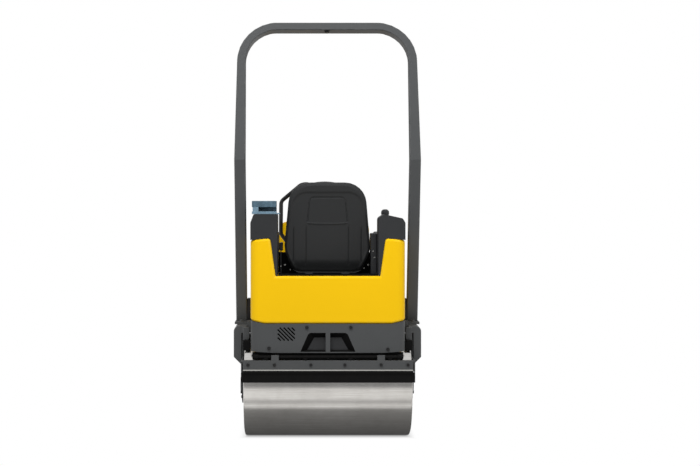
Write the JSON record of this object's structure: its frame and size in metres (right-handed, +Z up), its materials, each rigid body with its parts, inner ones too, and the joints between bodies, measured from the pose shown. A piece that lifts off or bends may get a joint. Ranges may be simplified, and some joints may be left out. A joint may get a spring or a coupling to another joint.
{
  "type": "tandem road roller",
  "caption": "Ride-on tandem road roller with two smooth steel drums, an articulated frame, a tank cowl around the seat, a bent roll-over hoop and a tilting engine hood.",
  "frame": {"origin": "on the ground below the steering pivot, midway between the drums", "axes": "+X to the driver's right, +Y forward, +Z up"},
  "size_m": [1.02, 2.006, 2.29],
  "materials": {
    "yellow_body": "satin, moulded",
    "grey_paint": "satin",
    "black_paint": "satin",
    "black_plastic": "matte, moulded",
    "seat_trim": "grained vinyl",
    "drum_steel": "turned",
    "bright_steel": "polished",
    "black_rubber": "matte",
    "holder_plastic": "matte, moulded",
    "engine_iron": "cast"
  },
  "bodies": {
    "rear_frame": {"rear_chassis": "grey_paint", "rear_side_plates": "grey_paint", "rear_beams": "grey_paint", "hoop_pedestals": "grey_paint", "rear_drum_carriers": "grey_paint", "tank_cowl": "yellow_body", "rear_panel": "grey_paint", "rear_tow_eye": "grey_paint", "console_left": "black_plastic", "console_right": "black_plastic", "seat_rails": "black_paint", "seat_cushion": "seat_trim", "seat_back": "seat_trim", "seat_shell": "black_plastic", "rops_hoop": "grey_paint", "platform_floor": "black_paint", "dash_column": "black_plastic", "dash_panel": "black_plastic", "grab_bar": "black_paint", "travel_lever": "black_paint", "document_holder": "holder_plastic", "rear_scraper_bar": "grey_paint", "rear_scraper_blade": "black_rubber", "rear_spray_pipe": "black_rubber"},
    "rear_roll": {"rear_drum": "drum_steel"},
    "knuckle": {"pivot_knuckle": "grey_paint"},
    "front_frame": {"front_chassis": "grey_paint", "front_side_plates": "grey_paint", "front_deck": "grey_paint", "front_drum_carriers": "grey_paint", "front_panel": "grey_paint", "front_tow_eye": "grey_paint", "front_scraper_bar": "grey_paint", "front_scraper_blade": "black_rubber", "front_spray_pipe": "black_rubber", "engine_block": "engine_iron", "firewall": "yellow_body", "headlamps": "black_plastic", "exhaust_pipe": "bright_steel"},
    "front_roll": {"front_drum": "drum_steel"},
    "hood": {"hood_shell": "yellow_body", "hood_grille": "black_paint"},
    "wheel": {"steering_wheel": "black_plastic"},
    "rod": {"steer_rod": "bright_steel"}
  },
  "joints": [
    {"name": "rear_drum_spin", "type": "hinge", "parent": "rear_frame", "child": "rear_roll", "pos_m": [0, -0.7, 0.28], "axis": [-1, 0, 0], "continuous": true},
    {"name": "steer", "type": "hinge", "parent": "rear_frame", "child": "knuckle", "pos_m": [0, 0, 0.3275], "axis": [0, 0, 1], "range_deg": [-30, 30]},
    {"name": "oscillate", "type": "hinge", "parent": "knuckle", "child": "front_frame", "pos_m": [0, 0, 0.3275], "axis": [0, 1, 0], "range_deg": [-8, 8]},
    {"name": "front_drum_spin", "type": "hinge", "parent": "front_frame", "child": "front_roll", "pos_m": [0, 0.7, 0.28], "axis": [-1, 0, 0], "continuous": true},
    {"name": "hood_tilt", "type": "hinge", "parent": "front_frame", "child": "hood", "pos_m": [0, 0.892, 0.626], "axis": [-1, 0, 0], "range_deg": [0, 65]},
    {"name": "steering_wheel_turn", "type": "hinge", "parent": "rear_frame", "child": "wheel", "pos_m": [0, -0.09, 1.322], "axis": [0, -0.5, 0.866], "range_deg": [-600, 600]},
    {"name": "steer_rod_slide", "type": "slide", "parent": "rear_frame", "child": "rod", "axis": [0, 1, 0], "range_m": [-0.055, 0.055]}
  ],
  "couplings": [
    {"joint": "steering_wheel_turn", "follows": "steer", "ratio": 20},
    {"joint": "steer_rod_slide", "follows": "steer", "m_per_rad": 0.105}
  ]
}
